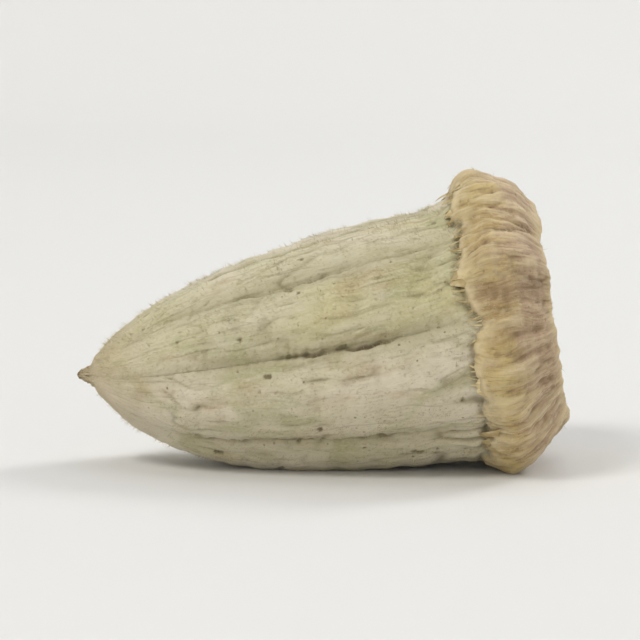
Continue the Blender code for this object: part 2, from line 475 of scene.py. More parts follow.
@dataclass(frozen=True)
class PodFinish:
    """Dry matt finish of the pod: green-grey skin, tan cap and dark specks, with painted shade in its
    recesses and painted highlights on its raised parts.
    """

    khaki: Colour = tone(198, 191, 154)
    dusty: Colour = tone(214, 204, 181)
    straw: Colour = tone(206, 195, 138)
    green: Colour = tone(170, 167, 120)
    rub: Colour = tone(176, 150, 108)
    # Pale flecks of the skin, also the painted highlight on its raised relief.
    fleck_and_highlight: Colour = tone(214, 206, 178)
    # The furrow and crease colours are painted shade in the furrows, folds and creases.
    furrow: Colour = tone(152, 142, 106)
    crease: Colour = tone(106, 93, 66)
    speck: Colour = tone(102, 88, 62)
    tip: Colour = tone(196, 179, 150)
    style: Colour = tone(193, 177, 144)
    style_end: Colour = tone(156, 136, 102)
    tan: Colour = tone(193, 167, 112)
    cap_straw: Colour = tone(213, 191, 130)
    cap_pink: Colour = tone(180, 153, 126)
    lip_pink: Colour = tone(188, 161, 136)
    # The cap's brown also gives painted shade in its hollows, folds and cracks; its pale also gives painted
    # highlight on its raised parts.
    cap_brown: Colour = tone(126, 101, 68)
    cap_pale: Colour = tone(218, 201, 162)
    edge_shadow: Colour = tone(112, 96, 62)
    cut: Colour = tone(190, 164, 124)
    pith: Colour = tone(76, 56, 38)
    # Darkens the grain of skin and cap, and gives painted shade in the skin's hollows.
    shade: Colour = tone(158, 148, 126)
    roughness: float = 0.85
    specular: float = 0.3
    sheen: float = 0.1
    sheen_roughness: float = 0.6
    bump_strength: float = 0.6
    bump_layers: tuple[tuple[Pattern, float], ...] = (
        (Pattern(0.10 * MM, 8.0, 4.0, 53.0, streaked=True), 0.05 * MM),
        (Pattern(0.15 * MM, 1.6, 4.0, 51.0), 0.04 * MM),
        (Pattern(0.05 * MM, 1.4, 3.0, 57.0), 0.02 * MM),
    )

    def skin_coats(self) -> list[Coat]:
        """Coats of the pod's body over its dusty ground, the lowest first.

        Returns:
            The coats.
        """
        tint = Sum(Pattern(2.8 * MM, 1.6, 4.0, 1.0, 0.6), Region.TINT, 0.6)
        patch = Pattern(1.3 * MM, 2.0, 5.0, 7.0, 0.8)
        rubbed = Pattern(0.9 * MM, 2.6, 5.0, 17.0, 0.5)
        streak = Pattern(0.17 * MM, 11.0, 4.0, 12.0, streaked=True)
        meal = Pattern(0.09 * MM, 1.3, 3.0, 19.0, 0.4)
        grit = Sum(Spots(0.30 * MM, 3.0), Pattern(0.07 * MM, 1.0, 2.0, 23.0), 0.30)
        gritty = Pattern(0.7 * MM, 1.0, 2.0, 21.0)
        scar = Sum(Region.PIT, Pattern(0.06 * MM, 1.2, 3.0, 25.0), 0.70)
        return [
            Coat(self.khaki, Level(tint, 0.60, 1.05)),
            Coat(self.straw, Level(tint, 0.85, 1.25, 0.7)),
            Coat(self.green, Level(patch, 0.46, 0.70, 0.65)),
            Coat(self.rub, Level(rubbed, 0.56, 0.72, 0.38)),
            Coat(self.fleck_and_highlight, Level(streak, 0.50, 0.72, 0.40)),
            darkening(self.shade, Level(streak, 0.47, 0.27, 0.40)),
            Coat(self.fleck_and_highlight, Level(meal, 0.52, 0.72, 0.45)),
            darkening(self.shade, Level(meal, 0.44, 0.26, 0.35)),
            Coat(self.tip, Level(Region.ALONG, 0.80, 0.97, 0.7)),
            Coat(self.style, Level(Region.ALONG, 0.940, 0.985)),
            Coat(self.style_end, Level(Region.ALONG, 0.982, 0.999, 0.8)),
            # Painted shade along the furrows between the ribs and in the folds of the wrinkled skin.
            Coat(self.furrow, evenly(Region.FURROW, 0.40)),
            Coat(self.furrow, Level(Region.FOLD, 0.25, 1.0, 0.55)),
            # Painted shade in the hollows of the skin's relief, and a painted highlight on its raised parts.
            darkening(self.shade, Level(Region.RELIEF, 0.45, 0.12, 0.5)),
            Coat(self.fleck_and_highlight, Level(Region.RELIEF, 0.55, 0.85, 0.30)),
            Coat(self.speck, Level(grit, 0.33, 0.20), Level(gritty, 0.48, 0.64, 0.75)),
            Coat(self.speck, Level(scar, 0.56, 1.20, 0.8)),
            # Painted shade in the creases, darker where they are deeper.
            Coat(self.crease, Level(Region.CREASE, 0.1, 0.95, 0.88)),
        ]

    def cap_coats(self) -> list[Coat]:
        """Coats of the cap, its face and the cut stem over their tan ground, the lowest first.

        Returns:
            The coats.
        """
        threads = Pattern(0.055 * MM, 9.0, 4.0, 44.0, streaked=True)
        broad = Sum(Pattern(1.5 * MM, 1.0, 4.0, 31.5, 0.6), threads, 0.40)
        blush = Sum(Pattern(1.1 * MM, 1.0, 4.0, 36.4, 0.8), threads, 0.40)
        weathered = Pattern(0.55 * MM, 1.0, 5.0, 43.0, 0.8)
        from_face = Sum(Sum(Region.ALONG, Pattern(0.8 * MM, 1.0, 4.0, 39.6, 0.6), 0.11), threads, 0.12)
        meal = Pattern(0.08 * MM, 1.0, 3.0, 45.0, 0.4)
        gritty = Pattern(0.8 * MM, 1.0, 2.0, 47.0)
        grain = Pattern(0.11 * MM, 7.0, 4.0, 41.0, streaked=True)
        return [
            Coat(self.cap_straw, Level(broad, 0.60, 0.82)),
            Coat(self.cap_pink, Level(blush, 0.71, 0.89, 0.75)),
            Coat(self.cap_brown, Level(weathered, 0.56, 0.76, 0.42)),
            Coat(self.lip_pink, Level(from_face, 0.235, 0.165, 0.85), evenly(Region.CAP_FACE, 0.3, 1.0)),
            Coat(self.cap_pale, Level(meal, 0.54, 0.72, 0.4)),
            darkening(self.shade, Level(meal, 0.44, 0.26, 0.4)),
            Coat(self.cap_pale, Level(threads, 0.53, 0.68, 0.45)),
            Coat(self.cap_brown, Level(threads, 0.44, 0.30, 0.50)),
            Coat(self.cap_brown, Level(Spots(0.26 * MM, 5.0), 0.20, 0.09), Level(gritty, 0.50, 0.60, 0.7)),
            Coat(self.cap_pale, Level(grain, 0.52, 0.70, 0.50)),
            Coat(self.cap_brown, Level(grain, 0.44, 0.28, 0.45)),
            # Painted highlight on the raised parts of the cap's relief, and painted shade in its hollows.
            Coat(self.cap_pale, Level(Region.RELIEF, 0.56, 0.88, 0.5)),
            Coat(self.cap_brown, Level(Region.RELIEF, 0.50, 0.20, 0.65)),
            # Painted shade in the cap's cracks and in the folds of its pleats and threads.
            Coat(self.cap_brown, evenly(Region.FOLD, 0.7)),
            Coat(self.cut, evenly(Region.STEM, 0.55)),
            Coat(self.pith, evenly(Region.PITH, 1.0)),
        ]

    def edge_coats(self) -> list[Coat]:
        """Coats on the border of the body and the cap, over both.

        Returns:
            The coats.
        """
        torn = Pattern(0.6 * MM, 1.0, 3.0, 49.0)
        return [
            Coat(self.edge_shadow, evenly(Region.EDGE, 0.42)),
            Coat(self.cap_pale, evenly(Region.LIP, 1.0), Level(torn, 0.42, 0.56, 0.65)),
        ]

    def dress(self, mesh: bpy.types.Mesh) -> None:
        """Build the finish and give it to the mesh.

        Args:
            mesh: The mesh to dress.
        """
        nodes = Nodes("dried_okra")
        skin = layered(nodes, self.dusty, self.skin_coats())
        cap = layered(nodes, self.tan, self.cap_coats())
        both = nodes.mix(nodes.read(Region.CAP), skin, cap)
        surface: dict[str, Any] = {}
        for pattern, height in self.bump_layers:
            surface = nodes.bump(pattern, height, self.bump_strength, surface)
        surface |= {
            "Base Color": layered(nodes, both, self.edge_coats()),
            "Roughness": self.roughness,
            "Specular IOR Level": self.specular,
            "Sheen Weight": self.sheen,
            "Sheen Roughness": self.sheen_roughness,
        }
        nodes.fill(nodes.shader, surface)
        mesh.materials.append(nodes.material)


@dataclass(frozen=True)
class WispFinish:
    """Dry plant matter of two shades: the hairs, or the shreds on the cap's edge."""

    name: str
    light: Colour
    dark: Colour
    streaked: bool = False
    roughness: float = 0.75
    specular: float = 0.3

    def dress(self, mesh: bpy.types.Mesh) -> None:
        """Build the finish and give it to the mesh.

        Args:
            mesh: The mesh to dress.
        """
        nodes = Nodes(self.name)
        coats = [Coat(self.dark, Level(Pattern(0.5 * MM, 1.0, 3.0, 61.0), 0.35, 0.65))]
        if self.streaked:
            streak = Pattern(0.05 * MM, 7.0, 4.0, 63.0, streaked=True)
            coats.append(Coat(self.dark, Level(streak, 0.60, 0.40, 0.6)))
        surface = {
            "Base Color": layered(nodes, self.light, coats),
            "Roughness": self.roughness,
            "Specular IOR Level": self.specular,
        }
        nodes.fill(nodes.shader, surface)
        mesh.materials.append(nodes.material)


@dataclass(frozen=True)
class PodForm:
    """The pod's main form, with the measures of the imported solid.

    Depth runs along the pod's axis, from the cap's outer end towards the tip.
    """

    length: float = 14.9 * MM
    body_radius: float = 4.05 * MM
    body_start: float = 2.2 * MM
    body_apex: float = 14.4 * MM
    body_fullness: float = 2.5
    body_bluntness: float = 0.6
    ovalness: float = 0.025
    oval_angle: float = math.radians(20.0)
    style_radius: float = 0.24 * MM
    style_taper: float = 0.3
    style_lean: float = 0.3 * MM
    style_lean_span: Span = (13.0 * MM, 15.2 * MM)
    axis_bend: float = -0.22 * MM
    axis_bend_side: float = 0.5
    twist: float = math.radians(7.0)
    cap_outline: tuple[tuple[float, float], ...] = (
        (0.00 * MM, 0.72 * MM),
        (0.34 * MM, 0.64 * MM),
        (0.44 * MM, 0.22 * MM),
        (0.72 * MM, 0.05 * MM),
        (1.12 * MM, 0.07 * MM),
        (1.34 * MM, 0.28 * MM),
        (1.60 * MM, 0.56 * MM),
        (2.25 * MM, 0.60 * MM),
        (2.85 * MM, 0.30 * MM),
        (3.20 * MM, 0.12 * MM),
        (3.70 * MM, 0.36 * MM),
        (4.16 * MM, 0.86 * MM),
        (4.48 * MM, 1.40 * MM),
        (4.54 * MM, 1.80 * MM),
        (4.30 * MM, 2.22 * MM),
    )
    cap_edge: float = 2.45 * MM
    body_join: float = 2.6 * MM
    furrow_angles: tuple[float, ...] = (3.0, 49.0, 92.0, 130.0, 171.0, 222.0, 270.0, 318.0)
    furrow_share: tuple[float, ...] = (0.9, 0.6, 1.0, 0.7, 1.1, 0.8, 1.3, 0.65)
    rib_swell: tuple[float, ...] = (1.0, 0.8, 1.1, 0.9, 1.15, 1.0, 1.2, 0.85)
    rib_depth: float = 0.42 * MM
    rib_roundness: float = 0.75
    rib_start: Span = (2.3 * MM, 4.2 * MM)
    rib_fade: Span = (9.5 * MM, 13.9 * MM)
    rib_left_at_tip: float = 0.15
    corner_reach: tuple[float, ...] = (0.28, 0.60, 0.34, 0.46, 0.30, 0.26, 0.26, 0.42)
    corner_point: float = 1.5
    corner_ramp: Span = (1.6 * MM, 4.3 * MM)
    corner_end: Span = (1.8 * MM, 3.5 * MM)
    scallop: float = 0.3 * MM
    scallop_ramp: Span = (1.2 * MM, 2.2 * MM)
    scallop_end: Span = (2.6 * MM, 4.0 * MM)
    face_fold: float = 0.12 * MM
    face_ramp: Span = (1.2 * MM, 2.6 * MM)
    face_rim: Span = (3.0 * MM, 3.9 * MM)
    face_end: Span = (0.9 * MM, 1.6 * MM)
    face_share: float = 0.4
    stem_radius: float = 1.2 * MM
    cap_steps: int = 40
    body_steps: int = 900
    dent_depth: float = 0.11 * MM
    dent_length: float = 4.5 * MM
    dent_width: float = 2.2 * MM
    dent_start: Span = (2.0 * MM, 3.0 * MM)
    dent_fade: Span = (12.8 * MM, 14.4 * MM)
    cap_dent_depth: float = 0.24 * MM
    cap_dent_size: float = 1.5 * MM
    cap_dent_place: float = 7.0
    rest_tilt: float = math.radians(8.3)
    rest_depth: float = 0.1 * MM

    def bare_radius(self, depth: Array) -> Array:
        """Radius of the bare body at each depth: a bullet that ends in the style's stub.

        Args:
            depth: Depth of each point.

        Returns:
            The radius at each, in metres.
        """
        span = self.body_apex - self.body_start
        share = np.clip((depth - self.body_start) / span, 0.0, 1.0)
        bullet = self.body_radius * (1.0 - share**self.body_fullness) ** self.body_bluntness
        end = self.style_radius * (1.0 - self.style_taper * ramp(self.body_apex, self.length, depth))
        left = np.minimum((self.length - depth) / end, 1.0)
        stub = end * np.sqrt(np.maximum(1.0 - (1.0 - left) ** 2, 0.0))
        return np.hypot(bullet, stub)

    def outline(self, rows: int) -> tuple[Array, Array]:
        """Half outline of the pod, in even steps from the pith hole over the rim to the tip.

        Args:
            rows: Number of points.

        Returns:
            Radius and depth of each point.
        """
        next_depth = 2.0 * self.body_join - self.cap_outline[-1][1]
        ends = np.array([self.body_join, next_depth])
        hole_radius, hole_depth = self.cap_outline[1]
        points = np.array([(-hole_radius, hole_depth), *self.cap_outline])
        points = np.vstack([points, np.column_stack([self.bare_radius(ends), ends])])
        share = np.linspace(0.0, 1.0, self.cap_steps, endpoint=False)[:, None]
        spans = []
        for a, b, c, d in zip(points, points[1:], points[2:], points[3:]):
            bend = 2.0 * a - 5.0 * b + 4.0 * c - d
            turn = -a + 3.0 * b - 3.0 * c + d
            spans.append(0.5 * (2.0 * b + (c - a) * share + bend * share**2 + turn * share**3))
        along = np.sin(np.linspace(0.0, 0.5 * math.pi, self.body_steps))
        depth = self.body_join + (self.length - self.body_join) * along
        fine = np.vstack([*spans, np.column_stack([self.bare_radius(depth), depth])])
        fine[0, 0] = 0.0
        fine[-1] = (0.0, self.length)
        path = np.concatenate([[0.0], np.cumsum(np.linalg.norm(np.diff(fine, axis=0), axis=1))])
        steps = np.linspace(0.0, path[-1], rows)
        return np.interp(steps, path, fine[:, 0]), np.interp(steps, path, fine[:, 1])

    def rib_place(self, turn: Array) -> tuple[Array, Array, Array]:
        """Rib number, share of the way across it and true angle for shares of a full turn.

        Args:
            turn: Share of a full turn, with the ribs evenly spread.

        Returns:
            The rib's number, the share of the way across it, and the angle in radians.
        """
        count = len(self.furrow_angles)
        place = (turn % 1.0) * count
        rib = np.floor(place).astype(int) % count
        across = place - np.floor(place)
        start = np.array(self.furrow_angles)
        width = (np.roll(start, -1) - start) % 360.0
        return rib, across, np.radians(start[rib] + width[rib] * across)

    def rib_envelope(self, depth: Array) -> Array:
        """How far the ribs are raised at each depth, from 0 to 1."""
        fade = 1.0 - (1.0 - self.rib_left_at_tip) * ramp(*self.rib_fade, depth)
        return ramp(*self.rib_start, depth) * fade

    def rib_relief(self, rib: Array, across: Array, depth: Array) -> Array:
        """Height of the ribbed skin over the bare body.

        Args:
            rib: Number of the rib.
            across: Share of the way across it.
            depth: Depth of each point.

        Returns:
            The height in metres.
        """
        crest = np.sin(math.pi * across) ** self.rib_roundness
        shares = np.array(self.furrow_share)
        sink = shares[rib] * (1.0 - across) + np.roll(shares, -1)[rib] * across
        swell = 0.5 * (np.array(self.rib_swell)[rib] - 1.0) * crest
        return self.rib_depth * self.rib_envelope(depth) * (swell - sink * (1.0 - crest))

    def corner_relief(self, rib: Array, across: Array, radius: Array, depth: Array) -> Array:
        """How far the cap's corner over a rib stands out at each place.

        Args:
            rib: Number of the rib.
            across: Share of the way across it.
            radius: Distance from the axis on the bare outline.
            depth: Depth of each point.

        Returns:
            The height in metres.
        """
        point = (1.0 - np.abs(2.0 * across - 1.0)) ** self.corner_point
        reach = MM * np.array(self.corner_reach)[rib]
        return reach * point * ramp(*self.corner_ramp, radius) * (1.0 - ramp(*self.corner_end, depth))

    def dent_relief(self, points: Array, depth: Array) -> Array:
        """Dents and lumps of the dried skin and of the cap.

        Args:
            points: Places in the pod's own frame.
            depth: Depth of each point.

        Returns:
            Their height in metres.
        """
        skin_places = np.stack(
            [depth / self.dent_length, points[..., 1] / self.dent_width, points[..., 2] / self.dent_width],
            axis=-1,
        )
        cap_places = points / self.cap_dent_size + np.array([self.cap_dent_place, 0.0, 0.0])
        on_body = ramp(*self.dent_start, depth)
        skin = self.dent_depth * perlin(skin_places) * on_body * (1.0 - ramp(*self.dent_fade, depth))
        return skin + self.cap_dent_depth * perlin(cap_places) * (1.0 - on_body)

    def shaped(self, radius: Array, depth: Array, turn: Array) -> Array:
        """Places of the turned pod's points after its ribs, corners, folds and dents.

        Args:
            radius: Distance of each point from the axis on the bare outline.
            depth: Depth of each point.
            turn: Share of a full turn round the axis.

        Returns:
            Places in the pod's own frame, with the cap at +X.
        """
        rib, across, angle = self.rib_place(turn)
        angle = angle + self.twist * (depth / self.length - 0.5)
        cosine, sine = np.cos(angle), np.sin(angle)
        dent = self.dent_relief(np.stack([-depth, radius * cosine, radius * sine], axis=-1), depth)
        on_face = (1.0 - ramp(*self.face_rim, radius)) * (1.0 - ramp(*self.face_end, depth))
        held = (1.0 - (1.0 - self.face_share) * on_face) * np.minimum(radius / self.stem_radius, 1.0)
        outward = dent * np.where(depth > self.body_join, 1.0, held)
        full = radius * (1.0 + self.ovalness * np.cos(2.0 * (angle - self.oval_angle)))
        full += self.rib_relief(rib, across, depth) + outward
        full += self.corner_relief(rib, across, radius, depth)
        fold = self.face_fold * np.cos(2.0 * math.pi * across)
        inward = (dent + fold) * on_face * ramp(*self.face_ramp, radius)
        edge_share = ramp(*self.scallop_ramp, depth) * (1.0 - ramp(*self.scallop_end, depth))
        inward += edge_share * (self.scallop * (np.sin(math.pi * across) - 0.5) + 0.5 * dent)
        bow = self.axis_bend * np.sin(math.pi * depth / self.length)
        lean = self.style_lean * ramp(*self.style_lean_span, depth)
        side = full * cosine + self.axis_bend_side * bow - lean
        return np.stack([-depth - inward, side, full * sine + bow + lean], axis=-1)


def ridged(values: Array) -> Array:
    """Turn smooth noise into ridges: 1 where it crosses zero, lower on both sides."""
    return 1.0 - 2.0 * np.abs(values)


def folded(values: Array, sharpness: float) -> Array:
    """Turn smooth noise into flat swells with narrow folds: 0 in a fold, up to 1 between them."""
    return np.minimum(np.abs(values) * sharpness, 1.0)


def bell(distance: Array, width: float) -> Array:
    """Smooth bump that is 1 at no distance and fades over its width."""
    return np.exp(-((distance / width) ** 2))


def angle_gap(angle: Array, other: float) -> Array:
    """Angle from other to each angle, the short way round."""
    return (angle - other + math.pi) % (2.0 * math.pi) - math.pi


@dataclass(frozen=True)
class Crease:
    """A fine line along the pod, where the skin has folded in, darkened with painted shade."""

    angle: float
    start: float
    end: float
    depth: float
    width: float


@dataclass(frozen=True)
class Ripple:
    """Noise in the relief: the length and width of its blotches, its draw, height and sharpness."""

    length: float
    width: float
    shift: float
    height: float = 0.0
    sharpness: float = 1.0


@dataclass(frozen=True)
class Streak:
    """Noise along the cap's fibres: length and number round of its streaks, draw, height, sharpness."""

    length: float
    count: float
    shift: float
    height: float = 0.0
    sharpness: float = 1.0


@dataclass(frozen=True)
class Rings:
    """Ridges that run round the pod: their spacing, how uneven they are round it, draw and height."""

    spacing: float
    unevenness: float
    shift: float
    height: float


@dataclass(frozen=True)
class EdgeWave:
    """One wave of the cap's torn edge: how fine it is, its draw, its height, and if it makes teeth."""

    fineness: float
    shift: float
    height: float
    toothed: bool


@dataclass(frozen=True)
class Creases:
    """Fine lines along the pod, darkened with painted shade: one in each furrow, two beside furrows, and
    lesser ones between.

    The starts, ends, lengths, depths and widths are in millimetres, the angles beside furrows in degrees,
    and all other lengths in metres.
    """

    starts: tuple[float, ...] = (4.6, 3.6, 4.2, 5.4, 4.0, 3.4, 4.4, 5.0)
    ends: tuple[float, ...] = (9.8, 12.2, 10.4, 11.8, 9.2, 12.6, 11.0, 9.4)
    depths: tuple[float, ...] = (0.14, 0.09, 0.14, 0.06, 0.17, 0.09, 0.14, 0.10)
    width: float = 0.075
    beside: tuple[tuple[float, ...], ...] = ((185.0, 4.6, 8.4, 0.10, 0.065), (144.0, 5.0, 10.6, 0.045, 0.06))
    seed: int = 11
    minor_count: int = 22
    minor_starts: Span = (2.8, 10.5)
    minor_lengths: Span = (1.2, 3.6)
    minor_depths: Span = (0.02, 0.05)
    minor_width: float = 0.06
    rise: float = 1.4 * MM
    fall: float = 1.8 * MM
    bow: float = 0.06 * MM
    bow_length: float = 1.7 * MM
    bow_offset: float = 1.9
    wander: Ripple = Ripple(0.8 * MM, 0.8 * MM, 5.0, 0.10 * MM)
    patch_size: float = 0.9 * MM
    patch_shift: float = 3.0
    patch_level: float = 0.75
    patch_contrast: float = 0.9
    patch_range: Span = (0.1, 1.2)
    # Crease depth that gets the full painted shade.
    darkest: float = 0.14 * MM

    def lines(self, furrow_angles: tuple[float, ...]) -> list[Crease]:
        """Every crease.

        Args:
            furrow_angles: Angle of each furrow, in degrees.

        Returns:
            The creases, in radians and metres.
        """
        widths = [self.width] * len(self.starts)
        in_furrows = zip(furrow_angles, self.starts, self.ends, self.depths, widths)
        lines = [
            Crease(math.radians(angle), *(size * MM for size in sizes))
            for angle, *sizes in (*in_furrows, *self.beside)
        ]
        draw = np.random.default_rng(self.seed)
        for _ in range(self.minor_count):
            start = draw.uniform(*self.minor_starts)
            end = start + draw.uniform(*self.minor_lengths)
            angle = draw.uniform(0.0, 2.0 * math.pi)
            depth = draw.uniform(*self.minor_depths)
            lines.append(Crease(angle, *(size * MM for size in (start, end, depth, self.minor_width))))
        return lines


@dataclass(frozen=True)
class Pit:
    """One small scar in the skin: its place, its size, how much longer it is than wide, its strength."""

    depth: float
    angle: float
    size: float
    stretch: float
    strength: float


@dataclass(frozen=True)
class Pits:
    """Small ragged scars and pits scattered over the skin, with depths and sizes in millimetres."""

    seed: int = 12
    count: int = 110
    depths: Span = (2.8, 13.8)
    least: float = 0.045
    growth: float = 0.11
    spread: Span = (1.1, 3.2)
    stretches: Span = (1.0, 2.0)
    strengths: Span = (0.35, 1.0)
    rim: Span = (0.1, 1.6)
    steepness: float = 1.8
    sink: float = 0.8
    grain: float = 0.16 * MM
    grain_shift: float = 41.0
    raggedness: float = 0.9

    def drawn(self) -> list[Pit]:
        """Draw every pit, in metres and radians.

        Returns:
            The pits, in the order in which they are drawn.
        """
        draw = np.random.default_rng(self.seed)
        found = []
        for _ in range(self.count):
            depth = draw.uniform(*self.depths) * MM
            angle = draw.uniform(0.0, 2.0 * math.pi)
            size = (self.least + self.growth * draw.beta(*self.spread)) * MM
            stretch = draw.uniform(*self.stretches)
            found.append(Pit(depth, angle, size, stretch, draw.uniform(*self.strengths)))
        return found


@dataclass(frozen=True)
class Bundles:
    """The small holes of the sap bundles in a ring round the pith, in millimetres."""

    seed: int = 13
    count: int = 11
    unevenness: float = 0.3
    reaches: Span = (0.70, 0.94)
    sizes: Span = (0.035, 0.075)

    def drawn(self) -> list[tuple[float, float, float]]:
        """Draw the angle, the distance from the axis and the size of each.

        Returns:
            Angle in radians, distance and size in metres, for each hole.
        """
        draw = np.random.default_rng(self.seed)
        found = []
        for number in range(self.count):
            place = number + draw.uniform(-self.unevenness, self.unevenness)
            angle = 2.0 * math.pi * place / self.count
            found.append((angle, draw.uniform(*self.reaches) * MM, draw.uniform(*self.sizes) * MM))
        return found


@dataclass(frozen=True)
class SkinRelief:
    """Measures of the fine relief of the pod's skin."""

    coarse: Ripple = Ripple(3.8 * MM, 0.60 * MM, 1.0, 0.062 * MM, 4.5)
    fine: Ripple = Ripple(1.9 * MM, 0.26 * MM, 4.0, 0.026 * MM, 4.0)
    fold_level: float = 0.8
    # Share of the painted shade that the fine wrinkles' folds get.
    fine_dark: float = 0.7
    patches: Ripple = Ripple(2.6 * MM, 1.8 * MM, 7.0)
    patch_range: Span = (-0.25, 0.35)
    cap_range: Span = (2.6 * MM, 5.0 * MM)
    tip_range: Span = (11.0 * MM, 13.0 * MM)
    least: float = 0.25
    in_patches: float = 0.55
    near_cap: float = 0.4
    in_furrows: float = 0.3
    most: float = 1.1
    lost_at_tip: float = 0.5
    swells: Ripple = Ripple(1.5 * MM, 0.9 * MM, 6.0, 0.036 * MM)
    grit: Ripple = Ripple(0.32 * MM, 0.26 * MM, 8.0, 0.015 * MM)
    threads: Ripple = Ripple(1.2 * MM, 0.15 * MM, 9.0, 0.014 * MM)
    rungs: Ripple = Ripple(0.26 * MM, 1.3 * MM, 10.0, 0.045 * MM)
    seed_spacing: float = 0.95 * MM
    seed_height: float = 0.022 * MM
    seed_offset: float = 2.4
    seed_drift: float = 1.5
    seed_narrowness: float = 1.5
    calm_radius: float = 0.5 * MM
    calm_tip: Span = (12.6 * MM, 14.3 * MM)
    calm_tip_share: float = 0.6
    style_grain: tuple[float, float, float] = (0.30 * MM, 0.10 * MM, 0.10 * MM)
    style_shift: float = 47.0
    style_height: float = 0.08 * MM
    style_level: float = 0.70
    style_range: Span = (14.25 * MM, 14.6 * MM)
    style_calm_radius: float = 0.12 * MM


@dataclass(frozen=True)
class CapRelief:
    """Measures of the fine relief of the corky cap."""

    coarse: Streak = Streak(1.9 * MM, 52.0, 12.0, 0.036 * MM)
    fine: Streak = Streak(0.9 * MM, 104.0, 15.0, 0.034 * MM)
    pleats: Streak = Streak(2.6 * MM, 44.0, 29.0, 0.080 * MM, 3.0)
    threads: Streak = Streak(1.4 * MM, 92.0, 33.0, 0.034 * MM, 3.0)
    fold_level: float = 0.85
    # How much painted shade the folds of the pleats and of the threads get.
    pleat_dark: float = 0.55
    thread_dark: float = 0.45
    grooves: Streak = Streak(1.5 * MM, 66.0, 22.0, 0.0, 6.0)
    groove_patches: Ripple = Ripple(0.8 * MM, 0.8 * MM, 23.0)
    groove_range: Span = (-0.35, 0.25)
    groove_share: float = 0.65
    splits: Streak = Streak(2.2 * MM, 40.0, 18.0, 0.0, 20.0)
    split_patches: Ripple = Ripple(1.0 * MM, 1.0 * MM, 20.0)
    split_range: Span = (0.0, 0.3)
    crack_depth: float = 0.060 * MM
    face_rings: Rings = Rings(0.34 * MM, 1.4, 25.0, 0.050 * MM)
    band_rings: Rings = Rings(0.30 * MM, 1.4, 27.0, 0.026 * MM)
    lumps: Ripple = Ripple(0.7 * MM, 0.7 * MM, 17.0, 0.018 * MM)
    grit: Ripple = Ripple(0.22 * MM, 0.22 * MM, 19.0, 0.020 * MM)
    crest_radius: float = 3.2 * MM
    crest_width: float = 0.16 * MM
    crest_end: float = 1.0 * MM
    crest_height: float = 0.09 * MM
    crest_level: float = 0.6
    stem_loss: float = 0.5
    bundle_depth: float = 0.10 * MM
    calm_radius: float = 0.3 * MM
    lip: Streak = Streak(2.0 * MM, 30.0, 21.0, 0.07 * MM)
    lip_height: float = 0.10 * MM
    lip_width: float = 0.8 * MM
    under_depth: float = 0.05 * MM
    under_width: float = 0.10 * MM


@dataclass(frozen=True)
class Borders:
    """Where the pod's regions begin and end, by radius or by depth."""

    cap: Span = (-0.05 * MM, 0.05 * MM)
    face: Span = (3.0 * MM, 3.6 * MM)
    stem: Span = (1.15 * MM, 1.32 * MM)
    pith: Span = (0.36 * MM, 0.50 * MM)
    furrow_width: float = 0.40 * MM
    edge_width: float = 0.07 * MM
    lip_place: float = 0.12 * MM
    lip_width: float = 0.11 * MM
    stem_end: float = 0.5 * MM
    # Scale of the relief height in the mask for painted shade and highlight.
    relief_span: float = 0.22 * MM
    bundle_dark: float = 0.8
    crease_growth: float = 1.5


